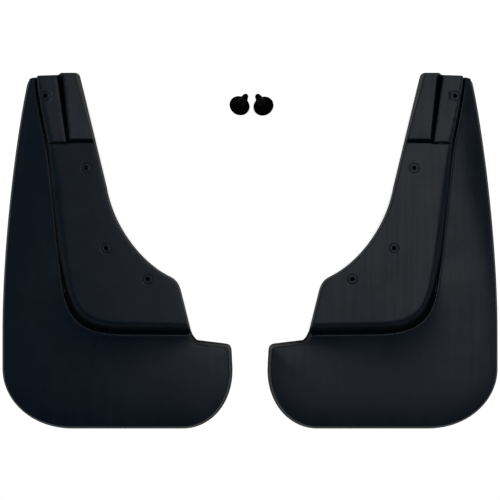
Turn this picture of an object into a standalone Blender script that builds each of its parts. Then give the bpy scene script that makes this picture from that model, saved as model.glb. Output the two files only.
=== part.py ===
"""A handed pair of moulded mud flaps and their two push clips, laid out on a flat surface.

Each flap is one moulding of constant wall: a low blade with drafted sides, a flange that
stands above it behind a gutter and a step, two raised pads at the narrow end and a boss
round every screw hole.  It lies face up and is open underneath.  Each push
clip stands on its head: a turned body with a split shank, and a pin that slides in its bore.

World frame: +X to the right across the pair, +Y towards the narrow ends, +Z up.  The origin
is on the floor at the middle of the set.  Units are metres.
"""
import math

import bpy
import bmesh
from mathutils import Matrix, Vector

MM = 0.001

# ---- layout of the set -------------------------------------------------------------------
SET_HALF_WIDTH = 247.5 * MM       # middle of the set to the outer edge of a flap
FLAP_LOWER_EDGE = -176.8 * MM     # world Y of the flaps' lower edges

# Each clip: its side, the middle of its head's face in millimetres, and the way it leans.
CLIPS = (
    ("left", (-10.7, 145.1), math.radians(47.0)),
    ("right", (13.7, 144.7), math.radians(130.0)),
)

# ---- levels and walls of a flap ----------------------------------------------------------
WALL = 3.0 * MM                   # moulded wall
BLADE_LEVEL = 11.0 * MM           # face of the blade above the floor
GUTTER_LEVEL = 9.2 * MM           # floor of the gutter at the foot of the step
FLANGE_LEVEL = 17.0 * MM          # face of the flange above the floor
FLANGE_LIP = 7.0 * MM             # height of the short lip round the flange's free edges
OUTER_PAD_LEVEL = 18.4 * MM
INNER_PAD_LEVEL = 20.2 * MM
BLADE_DRAFT = 3.5 * MM            # how far the blade's side walls lean in at the top
TRIM_DEPTH = 4.0 * MM             # the walls are made this much longer, then cut at the floor
FLANGE_DRAFT = 1.5 * MM
PAD_DRAFT = 1.0 * MM
GUTTER_START = 0.8 * MM           # plan distances from the step line into the flange
GUTTER_END = 3.0 * MM
STEP_TOP = 5.0 * MM

# ---- screw holes -------------------------------------------------------------------------
HOLE_RADIUS = 1.9 * MM
HOLE_SIDES = 16
BOSS_RADIUS = 5.2 * MM
BOSS_TOP_RADIUS = 4.5 * MM
BOSS_HEIGHT = 0.6 * MM
BOSS_SIDES = 24
CUT_CLEARANCE = 5.0 * MM          # how far a cutter runs on past the face it cuts
HOLE_SPOTS = ((85.6, 259.3), (105.4, 180.2), (146.5, 149.6))   # on the flange
PAD_HOLE_SPOT = (45.6, 330.3)                                  # on the outer pad

# ---- outlines of a flap, seen from its face ----------------------------------------------
# Millimetres from the outer lower corner of its frame; the narrow end is at 350.  A stroke
# with one point is a straight line to it, a stroke with three is a curve: two handles and
# its end.
BLADE_START = (33.5, 350.5)
BLADE_STROKES = (
    ((28, 350), (25.5, 348), (24.5, 343)),          # outer corner of the narrow end
    ((15, 298), (0, 190), (0, 95)),                 # long outer edge
    ((0, 60),),
    ((0, 28), (29, 0), (70, 0)),                    # lower outer corner
    ((180, 0),),
    ((209, 0), (231.5, 26), (230, 62)),             # lower inner corner
    ((228.5, 84.5),),                               # end of the blade's tab
    ((194, 88.7),),
    ((190, 94.3),),
)
FLANGE_STROKES = (
    ((180, 135),),
    ((177.5, 145), (175.5, 149), (167, 153)),
    ((139, 167), (112, 203), (105.8, 240)),         # wheel-arch curve
    ((78.5, 353.6),),
    ((62, 353.4),),
    ((58, 351.5),),
)
STEP_STROKES = (
    ((35, 332), (40.5, 305), (45, 285)),
    ((52, 240), (54.5, 185), (62, 140)),
    ((69, 104), (86, 95.5), (126, 94.8)),
    ((190, 94.3),),
)
OUTER_PAD = ((40.0, 348.0), (51.4, 285.0), (66.6, 285.0), (57.0, 348.8))
INNER_PAD = ((63.6, 350.6), (70.5, 287.4), (90.6, 287.4), (75.6, 350.8))
CURVE_STEPS = 9                   # straight pieces in each curve
FLAP_MIDDLE = (115 * MM, 177 * MM)
FLAP_REACH = 400 * MM             # past every corner of a flap, from its middle

# ---- push clip, in millimetres; profiles are (radius, distance along the shank) -------------
CLIP_LEAN = math.radians(23.0)    # from upright; the head rests on its rim and on the pin
HEAD_RADIUS = 10.3
HEAD_CHAMFER = 0.7
PIN_CAP_RADIUS = 3.5
# How far the pin's cap stands below the head's face: it touches the floor with the rim.
PIN_STANDS_OUT = (HEAD_RADIUS - PIN_CAP_RADIUS) * math.tan(CLIP_LEAN)
BODY_PROFILE = (
    (1.9, 2.95), (3.9, 2.95), (3.9, 0.0), (HEAD_RADIUS - HEAD_CHAMFER, 0.0),
    (HEAD_RADIUS, HEAD_CHAMFER), (HEAD_RADIUS, 1.6), (9.5, 2.3), (6.2, 2.9), (5.3, 4.6),
    (4.0, 5.2), (3.7, 8.5), (4.1, 14.0), (3.6, 18.5), (2.9, 24.0), (2.4, 25.3), (1.4, 26.0),
    (0.4, 26.0), (0.4, 22.6), (1.9, 20.6),
)
PIN_PROFILE = (
    (0.0, -PIN_STANDS_OUT), (2.9, -PIN_STANDS_OUT), (PIN_CAP_RADIUS, 0.6 - PIN_STANDS_OUT),
    (PIN_CAP_RADIUS, -0.1), (1.6, -0.1), (1.6, 16.2), (1.0, 17.4), (0.0, 17.4),
)
SLOT_WIDTH = 0.9                  # cross slots that part the shank's legs
SLOT_START, SLOT_END = 9.0, 22.0
CLIP_SIDES = 32
SMOOTH_ANGLE = math.radians(35.0)


def remove_everything():
    """Empty the scene, keeping the file open."""
    for thing in list(bpy.data.objects):
        bpy.data.objects.remove(thing, do_unlink=True)


def material(name, colour, roughness):
    """A plain moulded plastic."""
    made = bpy.data.materials.new(name)
    made.use_nodes = True
    shader = made.node_tree.nodes["Principled BSDF"]
    shader.inputs["Base Color"].default_value = (*colour, 1.0)
    shader.inputs["Roughness"].default_value = roughness
    shader.inputs["Metallic"].default_value = 0.0
    return made


def trace(start, strokes):
    """Points, in metres, along straight and curved strokes given in millimetres."""
    points = [Vector(start)]
    for stroke in strokes:
        if len(stroke) == 1:
            points.append(Vector(stroke[0]))
            continue
        first, (leave, arrive, last) = points[-1], (Vector(p) for p in stroke)
        for step in range(1, CURVE_STEPS + 1):
            t = step / CURVE_STEPS
            s = 1.0 - t
            points.append(first * s ** 3 + leave * (3 * s * s * t)
                          + arrive * (3 * s * t * t) + last * t ** 3)
    return [point * MM for point in points]


def left_normals(points, closed):
    """At each point, the sideways step that keeps a line offset at one metre."""
    normals = []
    count = len(points)
    for i, here in enumerate(points):
        before = points[i - 1] if closed or i > 0 else here
        after = points[(i + 1) % count] if closed or i < count - 1 else here
        into = (here - before).normalized() if before != here else (after - here).normalized()
        out = (after - here).normalized() if after != here else into
        along = (into + out).normalized()
        stretch = 1.0 / max(along.dot(into), 0.5)
        normals.append(Vector((-along.y, along.x)) * stretch)
    return normals


def offset(points, distance, closed=False):
    """The line moved to its left; distance is one number or one for each point."""
    amounts = distance if isinstance(distance, list) else [distance] * len(points)
    normals = left_normals(points, closed)
    return [point + normal * amount for point, normal, amount in zip(points, normals, amounts)]


def mesh_object(name, build, look=None, smooth_angle=None):
    """A new object whose mesh build(bm) fills."""
    mesh = bpy.data.meshes.new(name)
    bm = bmesh.new()
    build(bm)
    bm.to_mesh(mesh)
    bm.free()
    if smooth_angle is not None:
        mesh.shade_smooth()
        mesh.set_sharp_from_angle(angle=smooth_angle)
    made = bpy.data.objects.new(name, mesh)
    bpy.context.scene.collection.objects.link(made)
    if look:
        mesh.materials.append(look)
    return made


def prism(name, outline, low, high, draft=0.0):
    """A closed block on a plan outline, its sides leaning in by draft at the top."""
    def build(bm):
        bottom = [bm.verts.new((p.x, p.y, low)) for p in outline]
        top = [bm.verts.new((p.x, p.y, high)) for p in offset(outline, draft, closed=True)]
        bm.faces.new(top)
        bm.faces.new(bottom[::-1])
        bridge(bm, bottom, top, closed=True)
    return mesh_object(name, build)


def bridge(bm, lower, upper, closed=False):
    """Quads between two rows of points; the rows run left to right seen from outside."""
    count = len(lower)
    for i in range(count if closed else count - 1):
        j = (i + 1) % count
        bm.faces.new((lower[i], lower[j], upper[j], upper[i]))


def circle(middle, radius, sides):
    """Plan points of a circle, anticlockwise."""
    turns = (2 * math.pi * i / sides for i in range(sides))
    return [Vector((middle[0] + radius * math.cos(a), middle[1] + radius * math.sin(a)))
            for a in turns]


def boolean(target, tool, operation):
    """Join or cut with another object, which stays behind as a hidden guide."""
    tool.parent = target
    tool.hide_render = True
    tool.display_type = "WIRE"
    cut = target.modifiers.new(tool.name, "BOOLEAN")
    cut.object = tool
    cut.operation = operation
    cut.solver = "EXACT"


def moulded_face():
    """The flap's face as one sheet of quads and flats, still without thickness."""
    blade = trace(BLADE_START, BLADE_STROKES)
    flange = trace(FLANGE_STROKES[0][0], FLANGE_STROKES[1:])
    step = trace(BLADE_START, STEP_STROKES)
    reach = (GUTTER_START, GUTTER_END, STEP_TOP)
    # The rim passes over the step at both ends: right end going up, narrow end coming back.
    up = (flange[0] - blade[-1]).normalized()
    back = (flange[-1] - blade[0]).normalized()
    rising = [blade[-1] + up * distance for distance in reach]
    falling = [blade[0] + back * distance for distance in reversed(reach)]
    rim = blade + rising + flange + falling
    low_part = len(blade) + 2                       # rim points up to the foot of the step
    high_part = 1 + len(flange) + 1
    drafts = [BLADE_DRAFT] * len(blade) + [FLANGE_DRAFT] * (len(rim) - len(blade))
    heights = ([BLADE_LEVEL] * len(blade) + [GUTTER_LEVEL] * 2 + [FLANGE_LEVEL] * high_part
               + [GUTTER_LEVEL] * 2)
    feet = ([-TRIM_DEPTH] * low_part + [FLANGE_LEVEL - FLANGE_LIP] * high_part
            + [-TRIM_DEPTH] * 2)
    spread = -BLADE_DRAFT * TRIM_DEPTH / BLADE_LEVEL
    outer = offset(rim, [spread if z < 0.0 else 0.0 for z in feet], closed=True)
    inner = offset(rim, drafts, closed=True)

    def build(bm):
        foot = [bm.verts.new((p.x, p.y, z)) for p, z in zip(outer, feet)]
        edge = [bm.verts.new((p.x, p.y, z)) for p, z in zip(inner, heights)]
        bridge(bm, foot, edge, closed=True)
        right = edge[len(blade) - 1:len(blade) + 3]         # blade, gutter, foot, step top
        narrow = [edge[0]] + edge[:-4:-1]                   # the same four at the other end
        rows = []
        levels = (BLADE_LEVEL, GUTTER_LEVEL, GUTTER_LEVEL, FLANGE_LEVEL)
        for k, (distance, level) in enumerate(zip((0.0, *reach), levels)):
            line = offset(step, distance)[1:-1]
            row = [bm.verts.new((p.x, p.y, level)) for p in line]
            rows.append([narrow[k], *row, right[k]])
        for lower, upper in zip(rows, rows[1:]):
            bridge(bm, lower, upper)
        bm.faces.new(edge[:len(blade)] + rows[0][-2:0:-1])
        top_start = len(blade) + 2
        bm.faces.new(edge[top_start:len(edge) - 2] + rows[3][1:-1])
    return build


def make_flap(look):
    """The left flap, in its own frame."""
    flap = mesh_object("left_flap", moulded_face(), look)
    shell = flap.modifiers.new("wall", "SOLIDIFY")
    shell.thickness = WALL
    shell.offset = -1.0
    shell.use_even_offset = True
    for name, corners, level in (("outer_pad", OUTER_PAD, OUTER_PAD_LEVEL),
                                 ("inner_pad", INNER_PAD, INNER_PAD_LEVEL)):
        outline = [Vector(corner) * MM for corner in corners]
        boolean(flap, prism(name, outline, FLANGE_LEVEL - WALL / 2, level, PAD_DRAFT), "UNION")
    spots = [(spot, FLANGE_LEVEL) for spot in HOLE_SPOTS] + [(PAD_HOLE_SPOT, OUTER_PAD_LEVEL)]
    for number, (spot, level) in enumerate(spots, start=1):
        middle = (spot[0] * MM, spot[1] * MM)
        boss = prism(f"boss_{number}", circle(middle, BOSS_RADIUS, BOSS_SIDES),
                     level - WALL / 2, level + BOSS_HEIGHT, BOSS_RADIUS - BOSS_TOP_RADIUS)
        boolean(flap, boss, "UNION")
        hole = prism(f"hole_{number}", circle(middle, HOLE_RADIUS, HOLE_SIDES), 0.0,
                     level + CUT_CLEARANCE)
        boolean(flap, hole, "DIFFERENCE")
    below_floor = prism("floor_trim", circle(FLAP_MIDDLE, FLAP_REACH, 4),
                        -TRIM_DEPTH - CUT_CLEARANCE, 0.0)
    boolean(flap, below_floor, "DIFFERENCE")
    return flap


def other_hand(source, name):
    """The mirror image of a finished piece, on the other side of the set."""
    bpy.context.view_layer.update()
    finished = source.evaluated_get(bpy.context.evaluated_depsgraph_get())
    mesh = bpy.data.meshes.new_from_object(finished)
    mesh.name = name
    mesh.transform(Matrix.Diagonal((-1.0, 1.0, 1.0, 1.0)))
    mesh.flip_normals()
    made = bpy.data.objects.new(name, mesh)
    bpy.context.scene.collection.objects.link(made)
    made.location = (-source.location.x, source.location.y, source.location.z)


def turned(name, profile, look):
    """A solid of revolution about local Z from (radius, height) points in millimetres."""
    def build(bm):
        rings = []
        for radius, height in profile:
            if radius == 0.0:
                rings.append([bm.verts.new((0.0, 0.0, height * MM))])
                continue
            plan = circle((0.0, 0.0), radius * MM, CLIP_SIDES)
            rings.append([bm.verts.new((p.x, p.y, height * MM)) for p in plan])
        closed = profile[0][0] > 0.0
        following = rings[1:] + rings[:1] if closed else rings[1:]
        for lower, upper in zip(rings, following):
            for i in range(CLIP_SIDES):
                j = (i + 1) % CLIP_SIDES
                corners = [lower[i % len(lower)], lower[j % len(lower)],
                           upper[j % len(upper)], upper[i % len(upper)]]
                bm.faces.new(list(dict.fromkeys(corners)))
    return mesh_object(name, build, look, smooth_angle=SMOOTH_ANGLE)


def make_clip(side, spot, heading, look):
    """One push clip on an empty that stands and leans it; the pin's own Z is its slide."""
    stand = bpy.data.objects.new(f"{side}_clip_stand", None)
    bpy.context.scene.collection.objects.link(stand)
    head = Vector((*spot, HEAD_RADIUS * math.sin(CLIP_LEAN))) * MM
    lean = Matrix.Rotation(heading, 4, "Z") @ Matrix.Rotation(CLIP_LEAN, 4, "Y")
    stand.matrix_world = Matrix.Translation(head) @ lean
    body = turned(f"{side}_clip_body", BODY_PROFILE, look)
    body.parent = stand
    half = SLOT_WIDTH / 2 * MM
    far = HEAD_RADIUS * MM
    for number, (across, along) in enumerate(((half, far), (far, half)), start=1):
        cross = [Vector(p) for p in ((-across, -along), (across, -along),
                                     (across, along), (-across, along))]
        slot = prism(f"{side}_slot_{number}", cross, SLOT_START * MM, SLOT_END * MM)
        boolean(body, slot, "DIFFERENCE")
    pin = turned(f"{side}_clip_pin", PIN_PROFILE, look)
    pin.parent = stand


def main():
    remove_everything()
    flap_look = material("flap_black", (0.012, 0.013, 0.015), 0.5)
    clip_look = material("clip_black", (0.006, 0.006, 0.006), 0.42)
    flap = make_flap(flap_look)
    flap.location = (-SET_HALF_WIDTH, FLAP_LOWER_EDGE, 0.0)
    other_hand(flap, "right_flap")
    for side, spot, heading in CLIPS:
        make_clip(side, spot, heading, clip_look)


main()
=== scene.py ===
"""Looks of the mud flap set: fine meshes, materials, floor, light and camera.

A flap's face is one height field.  Rows of points run along its features, so that every
fillet, gutter, slot and boss has its own facets, and the face's height at a point comes from
its distance to those features.  A drafted wall with a rounded edge closes the face down to
the floor, and a second, plainer height field makes the open back.  Lengths in the design
are millimetres and turn into metres when a mesh is made.
"""
import math

import bmesh
import bpy
import numpy as np
from mathutils import Matrix, Vector
from mathutils.geometry import delaunay_2d_cdt


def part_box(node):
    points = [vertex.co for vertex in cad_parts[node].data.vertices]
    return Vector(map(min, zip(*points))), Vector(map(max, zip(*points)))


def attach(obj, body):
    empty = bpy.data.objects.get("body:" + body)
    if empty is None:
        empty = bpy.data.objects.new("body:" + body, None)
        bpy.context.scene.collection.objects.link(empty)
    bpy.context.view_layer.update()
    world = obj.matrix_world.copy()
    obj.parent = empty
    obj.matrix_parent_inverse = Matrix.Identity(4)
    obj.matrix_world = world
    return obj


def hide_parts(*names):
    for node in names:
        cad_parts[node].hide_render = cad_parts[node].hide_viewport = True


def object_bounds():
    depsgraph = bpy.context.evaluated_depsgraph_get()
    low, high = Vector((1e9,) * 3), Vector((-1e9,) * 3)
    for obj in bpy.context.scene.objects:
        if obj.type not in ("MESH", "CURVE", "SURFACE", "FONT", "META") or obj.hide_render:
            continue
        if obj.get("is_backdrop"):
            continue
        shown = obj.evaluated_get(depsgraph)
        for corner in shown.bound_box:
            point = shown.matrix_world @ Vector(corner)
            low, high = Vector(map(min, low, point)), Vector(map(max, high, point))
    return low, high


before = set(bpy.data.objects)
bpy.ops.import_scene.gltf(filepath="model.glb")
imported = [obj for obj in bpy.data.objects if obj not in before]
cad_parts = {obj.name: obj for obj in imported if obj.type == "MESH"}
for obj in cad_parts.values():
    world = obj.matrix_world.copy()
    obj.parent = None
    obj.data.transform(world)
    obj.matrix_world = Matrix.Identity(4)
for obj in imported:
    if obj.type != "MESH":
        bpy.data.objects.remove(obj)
cad_low, cad_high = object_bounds()

MM = 0.001

# ---- outlines of a flap, in millimetres from the outer lower corner of its box -------------
# A stroke with one point is a straight line to it, a stroke with three is a curve: two
# handles and its end.
BLADE_START = (33.5, 350.5)
BLADE_STROKES = (
    ((28, 350), (25.5, 348), (24.5, 343)),          # outer corner of the narrow end
    ((15, 298), (0, 190), (0, 95)),                 # long outer edge
    ((0, 60),),
    ((0, 28), (29, 0), (70, 0)),                    # lower outer corner
    ((180, 0),),
    ((209, 0), (231.5, 26), (230, 62)),             # lower inner corner
    ((229.2, 78),),
    ((228.8, 82.5), (227.4, 84.6), (223, 85.2)),    # end of the blade's tab
    ((195.5, 88.5),),
    ((193.7, 88.7), (192.8, 90.2), (190, 94.3)),
)
FLANGE_STROKES = (
    ((180, 135),),
    ((177.5, 145), (175.5, 149), (167, 153)),
    ((139, 167), (112, 203), (105.8, 240)),         # wheel-arch curve
    ((79.4, 349.6),),
    ((78.6, 352.9), (77.4, 353.6), (74.5, 353.6)),
    ((62, 353.4),),
    ((60, 353.2), (59.6, 351.6), (57, 351.5)),
    ((33.5, 350.5),),
)
STEP_STROKES = (
    ((35, 332), (40.5, 305), (45, 285)),
    ((52, 240), (54.5, 185), (62, 140)),
    ((69, 104), (86, 95.5), (126, 94.8)),
    ((190, 94.3),),
)
OUTLINE_SPACING = 1.3
STEP_SPACING = 1.4

# ---- heights -------------------------------------------------------------------------------
WALL = 3.0
# The blade bulges from its rim inward, most of all along the narrow outer strip.  Tables up
# the flap: (v, value).
BLADE_RIM_LEVEL = ((0, 9.4), (60, 9.2), (110, 8.8), (170, 8.4), (240, 7.8), (353, 7.2))
BLADE_CROWN = ((0, 2.2), (60, 2.4), (110, 3.0), (170, 4.8), (240, 10.2), (353, 12.0))
BLADE_CROWN_REACH = ((0, 14.0), (110, 14.0), (170, 18.0), (240, 30.0), (353, 30.0))
FLANGE_LEVEL = 17.0
LAND_WIDTH, LAND_RISE = 0.9, 0.3  # the lip's flat top, and how far it stands up
LAND_RAMP = 0.5                   # width over which the land rises
# Blends round the crease between two forms: the larger, the rounder.
LAND_BLEND, LIP_BLEND, SHOULDER_BLEND, FOOT_BLEND = 0.1, 0.4, 2.4, 0.7
FLANGE_FOOT = 10.0                # lower edge of the lip round the flange's free edges
FLANGE_SETS_IN = (1.0, 3.0)       # past the step line along the rim: start, distance to full effect

# Tables along the step line: (millimetres from the narrow end, value).
# The blade sweeps up to its lip, and the gutter is deeper, along the lower part of the step.
SWEEP_HEIGHT = ((0, 0.0), (190, 0.0), (240, 3.8), (290, 4.4), (330, 3.2), (385, 2.6))
SWEEP_REACH = ((0, 10.0), (215, 12.0), (260, 20.0), (300, 16.0), (340, 11.0), (385, 10.0))
GUTTER_WIDTH = ((0, 1.1), (62, 0.9), (180, 0.8), (240, 1.3), (385, 1.3))
GUTTER_DEPTH = ((0, 3.0), (62, 2.0), (80, 1.3), (180, 1.3), (240, 5.4), (300, 6.0),
                (340, 4.8), (385, 4.4))
SHOULDER = ((0, 3.0), (62, 2.6), (72, 3.6), (110, 4.8), (180, 6.0), (215, 7.2), (250, 8.6),
            (300, 8.8), (370, 8.2), (385, 5.0))

# ---- mounting pads at the narrow end --------------------------------------------------------
# Their faces: height at the groove, and how far they fall or rise towards the far side.
INNER_PAD_LEVEL, INNER_PAD_FALL = 20.0, 1.8
OUTER_PAD_LEVEL, OUTER_PAD_RISE = 17.9, 1.2
PAD_ACROSS = 20.0                 # width over which a pad falls or rises
PAD_SLOT_V = ((45.0, 284.0), (66.4, 284.1), (70.8, 285.9), (99.0, 286.0))
PAD_SLOT_HALF = ((45.0, 1.0), (66.4, 1.1), (70.8, 1.9), (99.0, 1.9))
GROOVE_LEFT = ((56.8, 352.0), (66.4, 284.0))
GROOVE_RIGHT = ((63.4, 352.0), (70.4, 284.0))
GROOVE_TOP = 350.0                # the groove stops short of the rim
GROOVE_END = (56.0, 64.5)         # a little past both its sides there
SLOT_SLOPE = 1.75                 # of the walls of the V-shaped slots
SLOT_BLEND = 0.7

# ---- ring bosses round the screw holes -------------------------------------------------------
HOLES = ((45.6, 330.3), (85.6, 259.3), (105.4, 180.2), (146.5, 149.6))
HOLE_RADIUS = 1.6
# Radius and height above the face: a fine ring groove, then a flat land round the hole.
BOSS_PROFILE = ((6.0, 0.0), (5.45, 0.0), (5.2, -0.08), (4.95, -0.22), (4.7, -0.22), (4.45, -0.03),
                (4.2, 0.08), (3.2, 0.1), (2.5, 0.08), (2.1, -0.02), (1.8, -0.3),
                (HOLE_RADIUS, -0.9))
BOSS_SIDES = 48

# ---- edges and back ---------------------------------------------------------------------------
# How far the edge walls lean in at the top: on the blade, less on the flange, more beside the
# inner pad, and hardly at the narrow end.
BLADE_LEAN, FLANGE_LEAN_LESS, PAD_LEAN_MORE, END_LEAN = 3.2, 1.7, 1.8, 0.4
ROUNDING, FLANGE_ROUNDING_LESS = 1.5, 0.4     # how far the edge's fillet reaches onto the face
FILLET_DEPTH = 1.6                            # and how far down the wall
# Where the wall is nearly upright: up the flap near its narrow end and facing along it, and up
# and across the flap beside the inner pad.  Each is (start, distance to full effect).
END_UP, END_FACING = (340.0, 8.0), (0.5, 0.4)
PAD_SIDE_UP, PAD_SIDE_ACROSS = (280.0, 70.0), (66.0, 4.0)
# The rounded lower edge: (inset from the outline, height above the wall's foot).
LOWER_EDGE = ((0.0, 0.5), (0.12, 0.15), (0.45, 0.0), (2.4, 0.0), (2.75, 0.12), (2.95, 0.5))
LEAST_WALL = 1.8
BACK_CORNER = (0.25, 0.6)         # how far the corner inside the wall is cut off, across and down
# The back sinks under the gutter: its distance before the step line, and over what width.
BACK_SINK, BACK_SINK_WIDTH = 5.0, 3.0
BACK_SETBACK = 2.2                # of the step's back behind its face
BACK_SLOT_WIDEN = 1.2             # of the ridges behind the slots
BACK_SHOULDER_BLEND, BACK_FOOT_BLEND = 1.5, 1.0
# Boss on the back round each hole: radius and depth below the back.
BACK_BOSS_RADIUS = 5.4
BACK_BOSS_PROFILE = ((5.1, 0.2), (4.9, 0.8), (4.5, 1.0), (2.3, 1.0), (HOLE_RADIUS, 0.7))

# ---- fineness of the meshes ---------------------------------------------------------------------
# Rows of points: offsets from the step line, shares of the shoulder's width, and distances
# into the slots from their edges.
STEP_ROWS = (0.0, 0.2, -0.2, 0.45, -0.5, 0.7, -0.8, 0.95, -1.0, 1.2, 1.45, 1.7, -1.2, -1.4, -1.9,
             -2.8, -4.4, -6.5, -10.0, -15.0)
SHOULDER_ROWS = (0.25, 0.45, 0.62, 0.72, 0.8, 0.87, 0.93, 1.0, 1.07, 1.15, 1.25, 1.45)
SLOT_ROWS = (0.0, 0.35, 0.7, 1.0, -0.25, -0.6)
GROOVE_SPACING, SLOT_SPACING = 1.2, 0.9
BACK_STEP_ROWS = (-6.0, -4.5, -3.2, -2.0, 0.0, 2.0, 3.9, 4.3, 5.0, 6.2, 8.0, 11.0, 15.0, 20.0)
BACK_SLOT_ROWS = (-4.6, -3.2, -2.2, 2.2, 3.2, 4.6)
BACK_SPACING = 2.0
GRID_PITCH = 3.4
GRID_ROW_RATIO = 0.87             # row spacing over pitch, for nearly even triangles
FACE_MARGIN, FACE_GAP = 0.35, 0.3     # least distance to the edge, and between points
BACK_MARGIN, BACK_GAP = 1.0, 1.0
# Rows of the wall: along its fillet, and shares of the way down its outside and up its inside.
FILLET_ROWS = 6
OUTSIDE_ROWS, INSIDE_ROWS = (0.35, 0.7, 1.0), (0.5, 1.0)
SAME_PLACE = 1e-5                 # points closer than this are one
LEAST_BEND = 1e-3                 # straighter lines count as this bend, in radians per millimetre
SHARP_ANGLE = math.radians(48)


# ============================ plan geometry ==================================================
def trace(start, strokes, steps=40):
    """Points along straight and curved strokes."""
    points = [np.array(start, float)]
    for stroke in strokes:
        if len(stroke) == 1:
            points.append(np.array(stroke[0], float))
            continue
        first = points[-1]
        leave, arrive, last = (np.array(p, float) for p in stroke)
        for t in np.linspace(0.0, 1.0, steps + 1)[1:]:
            s = 1.0 - t
            points.append(first * s ** 3 + leave * 3 * s * s * t
                          + arrive * 3 * s * t * t + last * t ** 3)
    return np.array(points)


def lengths_along(line):
    return np.concatenate([[0.0], np.cumsum(np.linalg.norm(np.diff(line, axis=0), axis=1))])


def resample(line, spacing):
    """The same line with evenly spaced points, ends kept."""
    along = lengths_along(line)
    count = max(2, int(round(along[-1] / spacing)) + 1)
    wanted = np.linspace(0.0, along[-1], count)
    return np.column_stack([np.interp(wanted, along, line[:, k]) for k in (0, 1)])


def left_normals(line, closed=False):
    """Unit normals to the left of the line's travel."""
    if closed:
        ahead = np.roll(line, -1, axis=0) - np.roll(line, 1, axis=0)
    else:
        ahead = np.gradient(line, axis=0)
    ahead /= np.linalg.norm(ahead, axis=1)[:, None]
    return np.column_stack([-ahead[:, 1], ahead[:, 0]])


def nearest(points, line, batch=4000):
    """For each point: distance to the line (positive on its left) and place along it."""
    start, step = line[:-1], np.diff(line, axis=0)
    length = np.linalg.norm(step, axis=1)
    along = lengths_along(line)
    signed, place = np.empty(len(points)), np.empty(len(points))
    for low in range(0, len(points), batch):
        part = points[low:low + batch, None, :] - start[None]
        t = np.clip((part * step).sum(2) / length ** 2, 0.0, 1.0)
        away = part - t[..., None] * step
        gap = np.linalg.norm(away, axis=2)
        best = gap.argmin(1)
        row = np.arange(len(best))
        side = step[best, 0] * away[row, best, 1] - step[best, 1] * away[row, best, 0]
        signed[low:low + batch] = gap[row, best] * np.where(side < 0.0, -1.0, 1.0)
        place[low:low + batch] = along[best] + t[row, best] * length[best]
    return signed, place


def tight_corner_limit(loop, share=0.7):
    """How far each point of a closed loop can move inward without crossing its neighbours."""
    ahead = np.roll(loop, -1, axis=0) - loop
    behind = loop - np.roll(loop, 1, axis=0)
    turn = (behind[:, 0] * ahead[:, 1] - behind[:, 1] * ahead[:, 0])
    span = np.linalg.norm(ahead, axis=1) + np.linalg.norm(behind, axis=1)
    angle = turn / (np.linalg.norm(ahead, axis=1) * np.linalg.norm(behind, axis=1))
    near = (-1, 0, 1)
    bend = sum(np.roll(angle, k) for k in near) / sum(np.roll(span / 2, k) for k in near)
    limit = share / np.maximum(bend, LEAST_BEND)
    limit = np.min([np.roll(limit, k) for k in range(-4, 5)], axis=0)
    for _ in range(6):
        limit = np.minimum(limit, (np.roll(limit, 1) + limit + np.roll(limit, -1)) / 3)
    return limit


def inside(points, loop):
    """True where a point is inside a closed loop."""
    result = np.zeros(len(points), bool)
    x, y = points[:, 0], points[:, 1]
    ahead = np.roll(loop, -1, axis=0)
    for (x0, y0), (x1, y1) in zip(loop, ahead):
        if y0 == y1:
            continue
        crosses = (y0 > y) != (y1 > y)
        result ^= crosses & (x < (x1 - x0) * (y - y0) / (y1 - y0) + x0)
    return result


def ease(x):
    """A smooth step from 0 to 1."""
    x = np.clip(x, 0.0, 1.0)
    return x * x * (3.0 - 2.0 * x)


def ramp(value, start_and_distance):
    """0 up to the start, 1 past the distance beyond it, smooth between."""
    start, distance = start_and_distance
    return ease((value - start) / distance)


def look_up(x, pairs):
    return np.interp(x, [p[0] for p in pairs], [p[1] for p in pairs])


blade_line = resample(trace(BLADE_START, BLADE_STROKES), OUTLINE_SPACING)
flange_line = resample(trace(BLADE_STROKES[-1][-1], FLANGE_STROKES), OUTLINE_SPACING)
outline = np.vstack([blade_line[:-1], flange_line[:-1]])
outline_closed = np.vstack([outline, outline[:1]])
outline_normals = left_normals(outline, closed=True)
step_line = resample(trace(BLADE_START, STEP_STROKES), STEP_SPACING)
# The step line carried on past the rim at both ends, so that its distances run out straight.
STEPS_PAST_END = 12
step_reach = np.vstack([step_line[0] + (step_line[0] - step_line[1]) * STEPS_PAST_END, step_line,
                        step_line[-1] + (step_line[-1] - step_line[-2]) * STEPS_PAST_END])
step_lead = np.linalg.norm(step_reach[1] - step_reach[0])


# ============================ heights of the face ==============================================
def lower_of(a, b, blend):
    """The smaller of two heights, with the crease between them rounded."""
    h = np.clip(0.5 + 0.5 * (b - a) / blend, 0.0, 1.0)
    return b * (1.0 - h) + a * h - blend * h * (1.0 - h)


def higher_of(a, b, blend):
    return -lower_of(-a, -b, blend)


def between(v, line):
    """The u of a nearly upright straight line at heights v."""
    (u1, v1), (u0, v0) = line
    return np.interp(v, [v0, v1], [u0, u1])


def slot_room(points, widen=0.0):
    """How far a point is inside the slots round the pads, negative outside them."""
    u, v = points[:, 0], points[:, 1]
    below_pads = look_up(u, PAD_SLOT_HALF) + widen - np.abs(v - look_up(u, PAD_SLOT_V))
    left, right = between(v, GROOVE_LEFT) - widen, between(v, GROOVE_RIGHT) + widen
    ends = np.minimum(v - PAD_SLOT_V[1][1], GROOVE_TOP + widen - v)
    groove = np.minimum(np.minimum(u - left, right - u), ends)
    return np.maximum(below_pads, groove)


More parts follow.
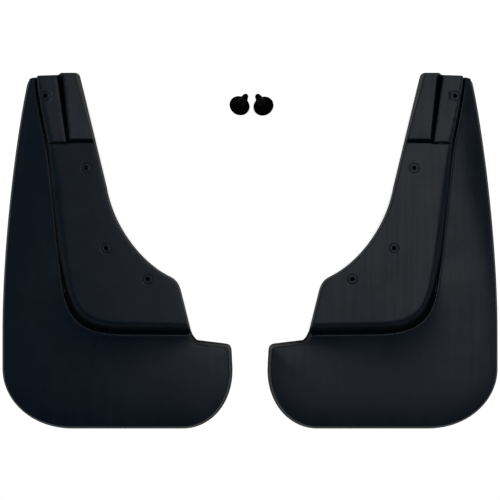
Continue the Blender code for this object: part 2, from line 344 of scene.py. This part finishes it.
def flange_height(points):
    """The flange's face and the two pads on it, before the slots are cut."""
    u, v = points[:, 0], points[:, 1]
    middle = (between(v, GROOVE_LEFT) + between(v, GROOVE_RIGHT)) / 2
    across = (u - middle) / PAD_ACROSS
    inner = INNER_PAD_LEVEL - INNER_PAD_FALL * across
    outer = OUTER_PAD_LEVEL - OUTER_PAD_RISE * across
    pad = np.where(u > middle, inner, outer)
    on_pad = ease(v - look_up(u, PAD_SLOT_V) + 0.5)      # changes within the slot's width
    return FLANGE_LEVEL + (pad - FLANGE_LEVEL) * on_pad


def slotted(height, points, widen=0.0):
    """The face with the V-shaped slots cut."""
    room = slot_room(points, widen)
    floor = height - SLOT_SLOPE * room
    return lower_of(height, floor, SLOT_BLEND)


def blade_height(v, rim_gap, step_gap, place):
    """The blade's face; its lip is a narrow land that stands a little proud of it."""
    spread = look_up(v, BLADE_CROWN_REACH)
    crown = look_up(v, BLADE_CROWN) * (1.0 - np.exp(-np.maximum(rim_gap, 0.0) / spread))
    height, reach = look_up(place, SWEEP_HEIGHT), look_up(place, SWEEP_REACH)
    base = look_up(v, BLADE_RIM_LEVEL) + crown
    sweep = height * np.exp(np.minimum(step_gap, 0.0) / reach)
    rise = LAND_RISE * ease((step_gap + LAND_WIDTH) / LAND_RAMP + 1.0)
    land = base + height * np.exp(-LAND_WIDTH / reach) + LAND_RISE
    return lower_of(base + sweep + rise, land, LAND_BLEND)


def gutter_height(v, rim_gap, place):
    """The gutter's floor beside the step line."""
    at_step = np.zeros(len(place))
    return blade_height(v, rim_gap, at_step, place) - look_up(place, GUTTER_DEPTH)


def face_height(points):
    """Height of the flap's face at plan points."""
    step_gap, place = nearest(points, step_reach)
    place = place - step_lead
    rim_gap, _ = nearest(points, outline_closed)
    blade = blade_height(points[:, 1], rim_gap, step_gap, place)
    floor = gutter_height(points[:, 1], rim_gap, place)
    gutter = look_up(place, GUTTER_WIDTH)
    riser = floor + look_up(place, GUTTER_DEPTH) * (1.0 - step_gap / gutter)
    flange = slotted(flange_height(points), points)
    wall = floor + (FLANGE_LEVEL - floor) * (step_gap - gutter) / look_up(place, SHOULDER)
    lip = lower_of(blade, riser, LIP_BLEND)
    raised = lower_of(wall, flange, SHOULDER_BLEND)
    return higher_of(lip, raised, FOOT_BLEND)


def back_height(points):
    """Height of the open back, a wall's thickness under the face's main forms."""
    step_gap, place = nearest(points, step_reach)
    place = place - step_lead
    rim_gap, _ = nearest(points, outline_closed)
    blade = blade_height(points[:, 1], rim_gap, step_gap, place) - WALL
    low = gutter_height(points[:, 1], rim_gap, place) - WALL
    sunk = ease((step_gap + BACK_SINK) / BACK_SINK_WIDTH)
    near = blade * (1.0 - sunk) + low * sunk
    flange = slotted(flange_height(points), points, widen=BACK_SLOT_WIDEN) - WALL
    rise = (step_gap - look_up(place, GUTTER_WIDTH) - BACK_SETBACK) / look_up(place, SHOULDER)
    wall = low + (FLANGE_LEVEL - WALL - low) * rise
    return higher_of(near, lower_of(wall, flange, BACK_SHOULDER_BLEND), BACK_FOOT_BLEND)


# ============================ meshes ==========================================================
def thinned(groups, gap):
    """Points of all groups in order, leaving out those closer than gap to one kept before."""
    kept, cells = [], {}
    for group in groups:
        for point in group:
            key = (int(point[0] // gap), int(point[1] // gap))
            near = (q for i in (-1, 0, 1) for j in (-1, 0, 1)
                    for q in cells.get((key[0] + i, key[1] + j), ()))
            if any((q[0] - point[0]) ** 2 + (q[1] - point[1]) ** 2 < gap * gap for q in near):
                continue
            cells.setdefault(key, []).append(point)
            kept.append(point)
    return np.array(kept)


def triangulated(boundary, holes, points):
    """Triangles over the plan inside a boundary loop and outside the hole loops.

    Returns all plan points, the boundary's first, then each hole's, then the rest."""
    loops = [boundary, *holes]
    edges, count = [], 0
    for loop in loops:
        edges += [(count + i, count + (i + 1) % len(loop)) for i in range(len(loop))]
        count += len(loop)
    everything = np.vstack([*loops, points])
    inside_constraints = 1
    made, _, faces, origins, _, _ = delaunay_2d_cdt(
        [Vector(p) for p in everything], edges, [], inside_constraints, SAME_PLACE)
    plan = np.array([(p.x, p.y) for p in made])
    place = np.full(len(made), -1)
    for new, old in enumerate(origins):
        if old:
            place[new] = min(old)
    extra = [new for new in range(len(made)) if place[new] < 0]
    for number, new in enumerate(extra):
        place[new] = len(everything) + number
    final = np.vstack([everything, plan[extra]]) if extra else everything
    triangles = np.array([[place[i] for i in face] for face in faces])
    middle = final[triangles].mean(axis=1)
    for hole in holes:
        within = inside(middle, hole)
        triangles, middle = triangles[~within], middle[~within]
    return final, triangles


def ring(middle, radius):
    turns = np.linspace(0.0, 2 * math.pi, BOSS_SIDES, endpoint=False)
    return np.column_stack([middle[0] + radius * np.cos(turns),
                            middle[1] + radius * np.sin(turns)])


def rows_along(line, offsets):
    """Copies of an open line moved sideways, one array of points for each offset."""
    normals = left_normals(line)
    return [line + normals * offset for offset in offsets]


class Flap:
    """Gathers the vertices and faces of a flap, in its own millimetres."""

    def __init__(self):
        self.vertices, self.faces = [], []

    def add(self, plan, heights):
        first = sum(len(part) for part in self.vertices)
        self.vertices.append(np.column_stack([plan, heights]))
        return np.arange(first, first + len(plan))

    def bridge(self, lower, upper):
        """Quads between two closed loops of vertex numbers, the lower one outside."""
        after = np.roll(np.arange(len(lower)), -1)
        self.faces += zip(lower, lower[after], upper[after], upper)


def even_spread(boundary):
    """Plan points all over the boundary's box, in staggered rows."""
    low, high = boundary.min(0), boundary.max(0)
    return np.array([(u + (row % 2) * GRID_PITCH / 2, v)
                     for row, v in enumerate(np.arange(low[1], high[1], GRID_PITCH * GRID_ROW_RATIO))
                     for u in np.arange(low[0], high[0], GRID_PITCH)])


def face_points(boundary):
    """Plan points for the face: rows along every feature, then an even spread."""
    along = lengths_along(step_line)
    gutter, width = (look_up(along, table)[:, None] for table in (GUTTER_WIDTH, SHOULDER))
    groups = rows_along(step_line, STEP_ROWS)
    groups += rows_along(step_line, [gutter + width * share for share in SHOULDER_ROWS])
    for line, inward in ((GROOVE_LEFT, 1.0), (GROOVE_RIGHT, -1.0)):
        edge = resample(np.array(line), GROOVE_SPACING)
        groups += rows_along(edge, [inward * x for x in SLOT_ROWS])
    groove = resample((np.array(GROOVE_LEFT) + np.array(GROOVE_RIGHT)) / 2, GROOVE_SPACING)
    groups += rows_along(groove, (0.0, 0.8, -0.8))
    slot = resample(np.array(PAD_SLOT_V), SLOT_SPACING)
    half = look_up(slot[:, 0], PAD_SLOT_HALF)[:, None]
    groups += rows_along(slot, [side * (half - x) for side in (-1.0, 1.0) for x in SLOT_ROWS])
    groups.append(slot)
    groove_end = np.linspace(*GROOVE_END, 12)
    groups += [np.column_stack([groove_end, np.full(len(groove_end), GROOVE_TOP - x)])
               for x in SLOT_ROWS]
    groups.append(even_spread(boundary))
    return groups


def clear_of(points, boundary, holes, margin):
    """Points inside the boundary and at least margin from it, and outside the holes."""
    closed = np.vstack([boundary, boundary[:1]])
    gap, _ = nearest(points, closed)
    keep = inside(points, boundary) & (np.abs(gap) > margin)
    for middle, radius in holes:
        keep &= np.linalg.norm(points - np.array(middle), axis=1) > radius + margin
    return points[keep]


def share_on_flange():
    """For each outline point: 0 on the blade, 1 on the flange, with short changes between."""
    gap, _ = nearest(outline, step_reach)
    return ramp(gap, FLANGE_SETS_IN)


def wall_lean(on_flange):
    """How far the edge wall leans in at its top, at each outline point."""
    u, v = outline[:, 0], outline[:, 1]
    at_end = ramp(v, END_UP) * ramp(-outline_normals[:, 1], END_FACING)
    beside_pad = ramp(v, PAD_SIDE_UP) * ramp(u, PAD_SIDE_ACROSS)
    lean = BLADE_LEAN - FLANGE_LEAN_LESS * on_flange + PAD_LEAN_MORE * beside_pad
    return lean * (1.0 - at_end) + END_LEAN * at_end


def add_sheet(flap, boundary, bosses, points, height, facing=1):
    """A sheet over the plan inside a boundary, open at its bosses.

    Returns the vertices of its rim, and those of the ring round each boss."""
    plan, triangles = triangulated(boundary, [ring(*boss) for boss in bosses], points)
    numbers = flap.add(plan, height(plan))
    flap.faces += [tuple(numbers[triangle][::facing]) for triangle in triangles]
    rings = numbers[len(boundary):][:len(bosses) * BOSS_SIDES].reshape(len(bosses), BOSS_SIDES)
    return numbers[:len(boundary)], rings


def add_face(flap, boundary):
    """The face and the ring bosses on it; returns its rim and the bosses' mouths."""
    bosses = [(middle, BOSS_PROFILE[0][0]) for middle in HOLES]
    groups = [clear_of(group, boundary, bosses, FACE_MARGIN) for group in face_points(boundary)]
    rim, rings = add_sheet(flap, boundary, bosses, thinned(groups, FACE_GAP), face_height)
    mouths = []
    for middle, outer in zip(HOLES, rings):
        base = face_height(np.array([middle]))[0]
        for radius, rise in BOSS_PROFILE[1:]:
            inner = flap.add(ring(middle, radius), np.full(BOSS_SIDES, base + rise))
            flap.bridge(outer, inner)
            outer = inner
        mouths.append(outer)
    return rim, mouths


def wall_rows(lean, face_start, foot, top, back_inset, back_top):
    """Rows down the wall's outside and up its inside: (inset, height) at each outline point."""
    wall_top = np.column_stack([lean, top])
    wall_foot = np.column_stack([np.zeros(len(outline)), foot])
    slope = wall_foot - wall_top
    length = np.linalg.norm(slope, axis=1)[:, None]
    fillet_high = np.column_stack([face_start, top])
    fillet_low = wall_top + slope / length * np.minimum(FILLET_DEPTH, 0.5 * length)
    rows = [(1 - t) ** 2 * fillet_high + 2 * t * (1 - t) * wall_top + t * t * fillet_low
            for t in np.linspace(0.0, 1.0, FILLET_ROWS + 1)[1:]]
    edge = [wall_foot + np.array(point) for point in LOWER_EDGE]
    rows += [fillet_low + (edge[0] - fillet_low) * t for t in OUTSIDE_ROWS]
    rows += edge[1:]
    inner_top = np.column_stack([back_inset - BACK_CORNER[0], back_top - BACK_CORNER[1]])
    rows += [edge[-1] + (inner_top - edge[-1]) * t for t in INSIDE_ROWS]
    return rows


def add_back(flap, back_plan, back_top, wall, mouths):
    """The open back and the bosses behind the holes, joined to the wall and the mouths."""
    bosses = [(middle, BACK_BOSS_RADIUS) for middle in HOLES]
    groups = rows_along(step_line, BACK_STEP_ROWS)
    for line in (GROOVE_LEFT, GROOVE_RIGHT, PAD_SLOT_V):
        groups += rows_along(resample(np.array(line), BACK_SPACING), BACK_SLOT_ROWS)
    groups.append(even_spread(back_plan)[::2])
    groups = [clear_of(group, back_plan, bosses, BACK_MARGIN) for group in groups]

    def height(plan):
        heights = back_height(plan)
        heights[:len(back_plan)] = back_top
        return heights

    rim, rings = add_sheet(flap, back_plan, bosses, thinned(groups, BACK_GAP), height, facing=-1)
    flap.bridge(rim, wall)
    for middle, outer, mouth in zip(HOLES, rings, mouths):
        base = back_height(np.array([middle]))[0]
        for radius, drop in BACK_BOSS_PROFILE:
            inner = flap.add(ring(middle, radius), np.full(BOSS_SIDES, base - drop))
            flap.bridge(inner, outer)
            outer = inner
        flap.bridge(outer, mouth)


def make_flap_mesh():
    """The whole moulding as one closed mesh, in the flap's own millimetres."""
    flap = Flap()
    on_flange = share_on_flange()
    lean = wall_lean(on_flange)
    face_start = lean + ROUNDING - FLANGE_ROUNDING_LESS * on_flange
    boundary = outline + outline_normals * face_start[:, None]
    upper, mouths = add_face(flap, boundary)
    top = face_height(boundary)
    back_inset = np.minimum(lean + WALL, tight_corner_limit(outline))
    back_plan = outline + outline_normals * back_inset[:, None]
    back_top = np.minimum(back_height(back_plan), top - LEAST_WALL)
    for row in wall_rows(lean, face_start, FLANGE_FOOT * on_flange, top, back_inset, back_top):
        lower = flap.add(outline + outline_normals * row[:, :1], row[:, 1])
        flap.bridge(lower, upper)
        upper = lower
    add_back(flap, back_plan, back_top, upper, mouths)
    return np.vstack(flap.vertices), flap.faces


def new_object(name, vertices, faces):
    """A mesh object with its faces turned outward, smooth but for its sharp edges."""
    mesh = bpy.data.meshes.new(name)
    mesh.from_pydata([tuple(v) for v in vertices], [], [tuple(int(i) for i in f) for f in faces])
    mesh.validate()
    shape = bmesh.new()
    shape.from_mesh(mesh)
    bmesh.ops.recalc_face_normals(shape, faces=shape.faces)
    shape.to_mesh(mesh)
    shape.free()
    mesh.shade_smooth()
    mesh.set_sharp_from_angle(angle=SHARP_ANGLE)
    thing = bpy.data.objects.new(name, mesh)
    bpy.context.scene.collection.objects.link(thing)
    return thing


# ============================ push clips =====================================================
# A clip lies with its head down: each has a spot for the middle of its head's face and a
# heading that it leans to.  Profiles are (radius, distance along the shank).
CLIPS = {"left": ((-10.7, 145.1), math.radians(47.0)),
         "right": ((13.7, 144.7), math.radians(130.0))}
CLIP_LEAN = math.radians(23.0)
HEAD_RADIUS = 10.3
CAP_RADIUS = 3.5
CAP_FACE = -(HEAD_RADIUS - CAP_RADIUS) * math.tan(CLIP_LEAN)
CLIP_SIDES = 72
LEG_SLOT = (0.9, 9.0, 22.0)       # width, start and end of the slots that part the legs
CLIP_BODY = (
    (1.9, 2.95), (3.6, 2.95), (3.82, 2.87), (3.9, 2.65), (3.9, 0.4), (3.98, 0.12), (4.25, 0.0),
    (8.9, 0.0), (9.5, 0.06), (9.95, 0.3), (10.22, 0.65), (10.3, 1.0), (10.26, 1.35),
    (10.05, 1.62), (9.75, 1.74), (9.3, 1.8), (9.05, 1.66), (8.75, 1.66), (8.5, 1.95),
    (8.0, 2.1), (7.75, 1.95), (7.45, 1.95), (7.2, 2.28), (6.6, 2.55), (6.15, 2.85),
    (5.75, 3.35), (5.45, 4.2), (5.2, 4.75), (4.75, 5.08), (4.2, 5.2), (3.85, 5.35),
    (3.7, 5.7), (3.7, 8.5), (3.78, 10.2), (3.98, 12.6), (4.1, 13.6), (4.08, 14.3),
    (3.9, 15.2), (3.72, 16.0), (3.66, 17.2), (3.72, 17.9), (3.55, 18.8), (3.25, 20.4),
    (3.0, 22.4), (2.92, 23.4), (2.75, 24.4), (2.4, 25.2), (1.85, 25.75), (1.2, 25.98),
    (0.55, 26.0), (0.4, 25.85), (0.4, 22.6), (1.9, 20.6),
)
CLIP_PIN = (
    (0.9, CAP_FACE + 0.7), (1.2, CAP_FACE + 0.6), (1.4, CAP_FACE + 0.08), (1.6, CAP_FACE),
    (2.7, CAP_FACE), (3.1, CAP_FACE + 0.12), (3.4, CAP_FACE + 0.45), (CAP_RADIUS, CAP_FACE + 0.85),
    (CAP_RADIUS, -0.3), (3.4, -0.1), (1.75, -0.1), (1.6, 0.1), (1.6, 16.2), (1.45, 16.9),
    (1.0, 17.35), (0.5, 17.4),
)


def turned(profile, closed=False):
    """Vertices and faces of a profile turned round the Z axis."""
    turns = np.linspace(0.0, 2 * math.pi, CLIP_SIDES, endpoint=False)
    vertices = [(r * math.cos(a) * MM, r * math.sin(a) * MM, z * MM)
                for r, z in profile for a in turns]
    faces = []
    rows = len(profile)
    for row in range(rows if closed else rows - 1):
        here, there = row * CLIP_SIDES, (row + 1) % rows * CLIP_SIDES
        for i in range(CLIP_SIDES):
            j = (i + 1) % CLIP_SIDES
            faces.append((here + i, here + j, there + j, there + i))
    if not closed:
        faces.append(range(CLIP_SIDES))
        faces.append(range((rows - 1) * CLIP_SIDES, rows * CLIP_SIDES))
    return vertices, faces


def cut_slots(piece):
    """Cut the cross slots that part the shank's legs."""
    width, start, end = (value * MM for value in LEG_SLOT)
    reach = HEAD_RADIUS * MM
    cutters = []
    for x, y in ((width / 2, reach), (reach, width / 2)):
        corners = [(i * x, j * y, z) for z in (start, end)
                   for i, j in ((-1, -1), (1, -1), (1, 1), (-1, 1))]
        sides = [(0, 1, 5, 4), (1, 2, 6, 5), (2, 3, 7, 6), (3, 0, 4, 7), (0, 3, 2, 1), (4, 5, 6, 7)]
        cutter = new_object("slot_cutter", corners, sides)
        cut = piece.modifiers.new("slot", "BOOLEAN")
        cut.object = cutter
        cut.operation = "DIFFERENCE"
        cut.solver = "EXACT"
        cutters.append(cutter)
    bpy.context.view_layer.update()
    finished = piece.evaluated_get(bpy.context.evaluated_depsgraph_get())
    mesh = bpy.data.meshes.new_from_object(finished)
    piece.modifiers.clear()
    piece.data = mesh
    for cutter in cutters:
        bpy.data.objects.remove(cutter)
    mesh.set_sharp_from_angle(angle=SHARP_ANGLE)


for side, (spot, heading) in CLIPS.items():
    stand = Vector((*spot, HEAD_RADIUS * math.sin(CLIP_LEAN))) * MM
    place = (Matrix.Translation(stand) @ Matrix.Rotation(heading, 4, "Z")
             @ Matrix.Rotation(CLIP_LEAN, 4, "Y"))
    body = new_object(f"{side}_clip_moulding", *turned(CLIP_BODY, closed=True))
    cut_slots(body)
    pin = new_object(f"{side}_pin_moulding", *turned(CLIP_PIN))
    for piece, rides_on, node in ((body, f"{side}_clip", f"{side}_clip_body"),
                                  (pin, f"{side}_pin", f"{side}_clip_pin")):
        piece.data.transform(place)
        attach(piece, rides_on)
        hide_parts(node)


# ============================ flaps in place ==================================================
flap_vertices, flap_faces = make_flap_mesh()
for side, mirrored in (("left", False), ("right", True)):
    low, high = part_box(f"{side}_flap")
    placed = flap_vertices * MM
    if mirrored:
        placed[:, 0] = high.x - placed[:, 0]
    else:
        placed[:, 0] += low.x
    placed[:, 1] += low.y
    piece = new_object(f"{side}_moulding", placed, flap_faces)
    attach(piece, f"{side}_flap")
    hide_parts(f"{side}_flap")


# ============================ materials =======================================================
class Nodes:
    """Adds nodes to a material's or world's tree; an input takes a socket, number or colour."""

    def __init__(self, tree):
        self.tree = tree

    def add(self, kind):
        return self.tree.nodes.new(kind)

    def put(self, value, socket):
        if isinstance(value, bpy.types.NodeSocket):
            self.tree.links.new(value, socket)
        else:
            socket.default_value = (*value, 1.0) if isinstance(value, tuple) else value

    def scaled(self, value, start, end, low, high, smooth=False):
        """Carries start to low and end to high, and holds the value within them."""
        node = self.add("ShaderNodeMapRange")
        node.interpolation_type = "SMOOTHSTEP" if smooth else "LINEAR"
        for socket, number in zip(node.inputs, (value, start, end, low, high)):
            self.put(number, socket)
        return node.outputs["Result"]

    def maths(self, operation, first, second):
        node = self.add("ShaderNodeMath")
        node.operation = operation
        for socket, value in zip(node.inputs, (first, second)):
            self.put(value, socket)
        return node.outputs[0]

    def mixed(self, fraction, first, second):
        """A colour between two others."""
        node = self.add("ShaderNodeMix")
        node.data_type = "RGBA"
        for socket, value in zip((node.inputs[0], node.inputs[6], node.inputs[7]),
                                 (fraction, first, second)):
            self.put(value, socket)
        return node.outputs[2]

    def noise(self, place, scale, detail, stretch=(1.0, 1.0, 1.0)):
        """A noise pattern; scale is in features per metre."""
        mapping = self.add("ShaderNodeMapping")
        mapping.inputs["Scale"].default_value = stretch
        self.put(place, mapping.inputs["Vector"])
        pattern = self.add("ShaderNodeTexNoise")
        pattern.inputs["Scale"].default_value = scale
        pattern.inputs["Detail"].default_value = detail
        self.put(mapping.outputs["Vector"], pattern.inputs["Vector"])
        return pattern.outputs["Fac"]

    def bump(self, height, depth, under=None):
        """A normal with bumps of a depth in metres, over another normal or the plain surface."""
        node = self.add("ShaderNodeBump")
        node.inputs["Strength"].default_value = 1.0
        node.inputs["Distance"].default_value = depth
        self.put(height, node.inputs["Height"])
        if under:
            self.put(under, node.inputs["Normal"])
        return node.outputs["Normal"]


# How far each pattern moves the roughness, up and down.
CLOUDY_GLOSS, STREAKY_GLOSS, SPECKLED_GLOSS = 0.035, 0.025, 0.03
WORN_GLOSS = -0.06                # on edges rubbed smooth
GRAIN_DEPTH = 0.01 * MM
WAVE_DEPTH = 8.0                  # of the surface's slow waves, in grain depths
LIGHTER, DARKER, SCUFFED_AND_HIGHLIT = 1.5, 0.6, 3.0      # shades of the base colour; the scuffed one, on sharp edges, is wear and a painted highlight


def black_moulding(name, colour, roughness, specular):
    """Black moulded polymer: fine grain, cloudy gloss, faint flow streaks, and sharp edges rubbed
    glossy and painted lighter: wear and a painted highlight.
    """
    made = bpy.data.materials.new(name)
    made.use_nodes = True
    nodes = Nodes(made.node_tree)
    shader = made.node_tree.nodes["Principled BSDF"]
    shader.inputs["Specular IOR Level"].default_value = specular
    place = nodes.add("ShaderNodeTexCoord").outputs["Object"]

    # Sharp edges are rubbed glossier and painted lighter, as wear and as a painted highlight along
    # them.
    sharpness = nodes.add("ShaderNodeNewGeometry").outputs["Pointiness"]
    edge_wear_and_highlight = nodes.maths("MULTIPLY", nodes.scaled(sharpness, 0.51, 0.58, 0.0, 1.0),
                       nodes.scaled(nodes.noise(place, 240.0, 3.0), 0.35, 0.65, 0.2, 1.0))
    clouds = nodes.noise(place, 22.0, 4.0)
    streaks = nodes.noise(place, 9.0, 3.0, (22.0, 1.0, 1.0))
    speckles = nodes.noise(place, 700.0, 2.0)
    gloss = nodes.scaled(clouds, 0.3, 0.7, roughness - CLOUDY_GLOSS, roughness + CLOUDY_GLOSS)
    for change in (nodes.scaled(streaks, 0.35, 0.65, -STREAKY_GLOSS, STREAKY_GLOSS),
                   nodes.scaled(speckles, 0.3, 0.7, -SPECKLED_GLOSS, SPECKLED_GLOSS),
                   nodes.scaled(edge_wear_and_highlight, 0.0, 1.0, 0.0, WORN_GLOSS)):
        gloss = nodes.maths("ADD", gloss, change)
    nodes.put(gloss, shader.inputs["Roughness"])

    # The scuffed shade on sharp edges is partly wear, partly a painted highlight.
    lighter, darker, scuffed_and_highlit = (tuple(channel * shade for channel in colour)
                                for shade in (LIGHTER, DARKER, SCUFFED_AND_HIGHLIT))
    mottles = nodes.scaled(nodes.noise(place, 60.0, 5.0), 0.35, 0.65, 0.0, 1.0)
    nodes.put(nodes.mixed(edge_wear_and_highlight, nodes.mixed(mottles, darker, lighter), scuffed_and_highlit),
              shader.inputs["Base Color"])

    grain = nodes.bump(nodes.noise(place, 1500.0, 2.0), GRAIN_DEPTH)
    waves = nodes.bump(clouds, GRAIN_DEPTH * WAVE_DEPTH, under=grain)
    nodes.put(waves, shader.inputs["Normal"])
    return made


rubber = black_moulding("flap_rubber", (0.0050, 0.0056, 0.0062), 0.345, 0.5)
nylon = black_moulding("clip_nylon", (0.0010, 0.0010, 0.0012), 0.62, 0.05)
for side in ("left", "right"):
    bpy.data.objects[f"{side}_moulding"].data.materials.append(rubber)
    for piece in ("clip", "pin"):
        bpy.data.objects[f"{side}_{piece}_moulding"].data.materials.append(nylon)


# ============================ floor ===========================================================
FLOOR_REACH = 6.0
FLOOR_GAP = 0.2 * MM              # below the object, so that the two don't share a plane
# Shade on the floor near the object: how far it looks, the openness where it is black and
# where it is clear, and the glow when clear.  The camera sees it far softer than the object's
# own reflections do.
REFLECTED_SHADE = (0.03, 0.68, 0.93, 0.5)
SEEN_SHADE = (0.09, 0.3, 0.45, 1.05)
SHADE_SAMPLES = 8


def shaded_glow(nodes, distance, black_at, clear_at, strength):
    """Emission strength that falls where the floor is close to the object."""
    shade = nodes.add("ShaderNodeAmbientOcclusion")
    shade.samples = SHADE_SAMPLES
    shade.inputs["Distance"].default_value = distance
    return nodes.scaled(shade.outputs["AO"], black_at, clear_at, 0.0, strength)


def white_floor():
    """A pale floor that glows, darker round the object."""
    made = bpy.data.materials.new("floor_white")
    made.use_nodes = True
    made.node_tree.nodes.clear()
    nodes = Nodes(made.node_tree)
    level = nodes.add("ShaderNodeMix")
    nodes.put(nodes.add("ShaderNodeLightPath").outputs["Is Camera Ray"], level.inputs["Factor"])
    nodes.put(shaded_glow(nodes, *REFLECTED_SHADE), level.inputs["A"])
    nodes.put(shaded_glow(nodes, *SEEN_SHADE), level.inputs["B"])
    glow = nodes.add("ShaderNodeEmission")
    nodes.put(level.outputs["Result"], glow.inputs["Strength"])
    nodes.put(glow.outputs[0], nodes.add("ShaderNodeOutputMaterial").inputs["Surface"])
    made.cycles.emission_sampling = "NONE"
    return made


floor_mesh = bpy.data.meshes.new("floor")
floor_mesh.from_pydata([(x * FLOOR_REACH, y * FLOOR_REACH, 0)
                        for x, y in ((-1, -1), (1, -1), (1, 1), (-1, 1))], [], [(0, 1, 2, 3)])
floor_mesh.materials.append(white_floor())
floor = bpy.data.objects.new("floor", floor_mesh)
bpy.context.scene.collection.objects.link(floor)
floor.location.z = cad_low.z - FLOOR_GAP
floor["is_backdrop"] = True


# ============================ light and camera ================================================
# Light by height above the horizon: dim low down, a pale ring all round, blue overhead.
LOW_LIGHT, RING_LIGHT, OVERHEAD_LIGHT = (0.03, 0.04, 0.05), (0.20, 0.23, 0.27), (0.012, 0.06, 0.15)
SKY = ((0.0, LOW_LIGHT), (0.34, LOW_LIGHT), (0.46, RING_LIGHT), (0.60, RING_LIGHT),
       (0.72, OVERHEAD_LIGHT))
BACKDROP = (0.8, 0.8, 0.8)        # only the camera sees it
SIDE_GLOW = (0.6, 0.85, 1.1)
SIDE_GLOW_SHARE = 0.16            # low down at the far left and right
SIDE_GLOW_HEIGHTS = (0.7, 0.3)    # where it starts and is full


def make_world():
    """A pale backdrop for the camera, and the studio's dim surroundings for the object."""
    world = bpy.data.worlds.new("studio")
    bpy.context.scene.world = world
    world.use_nodes = True
    world.node_tree.nodes.clear()
    nodes = Nodes(world.node_tree)
    toward = nodes.add("ShaderNodeSeparateXYZ")
    nodes.put(nodes.add("ShaderNodeTexCoord").outputs["Generated"], toward.inputs[0])
    height, across = toward.outputs["Z"], toward.outputs["X"]

    sky = nodes.add("ShaderNodeValToRGB")
    while len(sky.color_ramp.elements) < len(SKY):
        sky.color_ramp.elements.new(0.5)
    for element, (level, tint) in zip(sky.color_ramp.elements, SKY):
        element.position = level
        element.color = (*tint, 1.0)
    nodes.put(height, sky.inputs["Fac"])
    low_down = nodes.scaled(height, *SIDE_GLOW_HEIGHTS, 0.0, 1.0, smooth=True)
    sideways = nodes.maths("MULTIPLY", nodes.maths("MULTIPLY", across, across), SIDE_GLOW_SHARE)
    share = nodes.maths("MULTIPLY", low_down, sideways)
    surroundings = nodes.add("ShaderNodeBackground")
    nodes.put(nodes.mixed(share, sky.outputs["Color"], SIDE_GLOW), surroundings.inputs["Color"])

    backdrop = nodes.add("ShaderNodeBackground")
    nodes.put(BACKDROP, backdrop.inputs["Color"])
    either = nodes.add("ShaderNodeMixShader")
    nodes.put(nodes.add("ShaderNodeLightPath").outputs["Is Camera Ray"], either.inputs[0])
    nodes.put(surroundings.outputs[0], either.inputs[1])
    nodes.put(backdrop.outputs[0], either.inputs[2])
    nodes.put(either.outputs[0], nodes.add("ShaderNodeOutputWorld").inputs["Surface"])


def softbox(name, place, aim, size, strength, colour=(1.0, 1.0, 1.0)):
    """An area light that faces a point; its size is (width, height) in metres."""
    light = bpy.data.lights.new(name, "AREA")
    light.shape = "RECTANGLE"
    light.size, light.size_y = size
    light.energy = strength
    light.color = colour
    lamp = bpy.data.objects.new(name, light)
    bpy.context.scene.collection.objects.link(lamp)
    lamp.location = place
    lamp.rotation_euler = (Vector(aim) - Vector(place)).to_track_quat("-Z", "Y").to_euler()


def make_camera():
    """Straight above the set and looking down, as a long lens sees it."""
    camera = bpy.data.objects.new("camera", bpy.data.cameras.new("camera"))
    bpy.context.scene.collection.objects.link(camera)
    camera.data.sensor_width = 36.0
    camera.data.lens = 86.4
    camera.location = (0.0, 0.0017, 1.2)
    bpy.context.scene.camera = camera
    bpy.context.scene.view_settings.view_transform = "Standard"


make_world()
softbox("overhead_softbox", (0.5, 0.4, 2.2), (0.5, 0.4, 0.0), (1.5, 1.6), 6.5)
softbox("side_softbox", (-1.1, 0.3, 1.6), (0.0, 0.0, 0.0), (1.6, 1.8), 0.8, (0.55, 0.8, 1.0))
softbox("back_softbox", (0.0, 1.9, 1.3), (0.0, 0.0, 0.0), (2.8, 0.9), 1.0)
make_camera()

low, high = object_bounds()
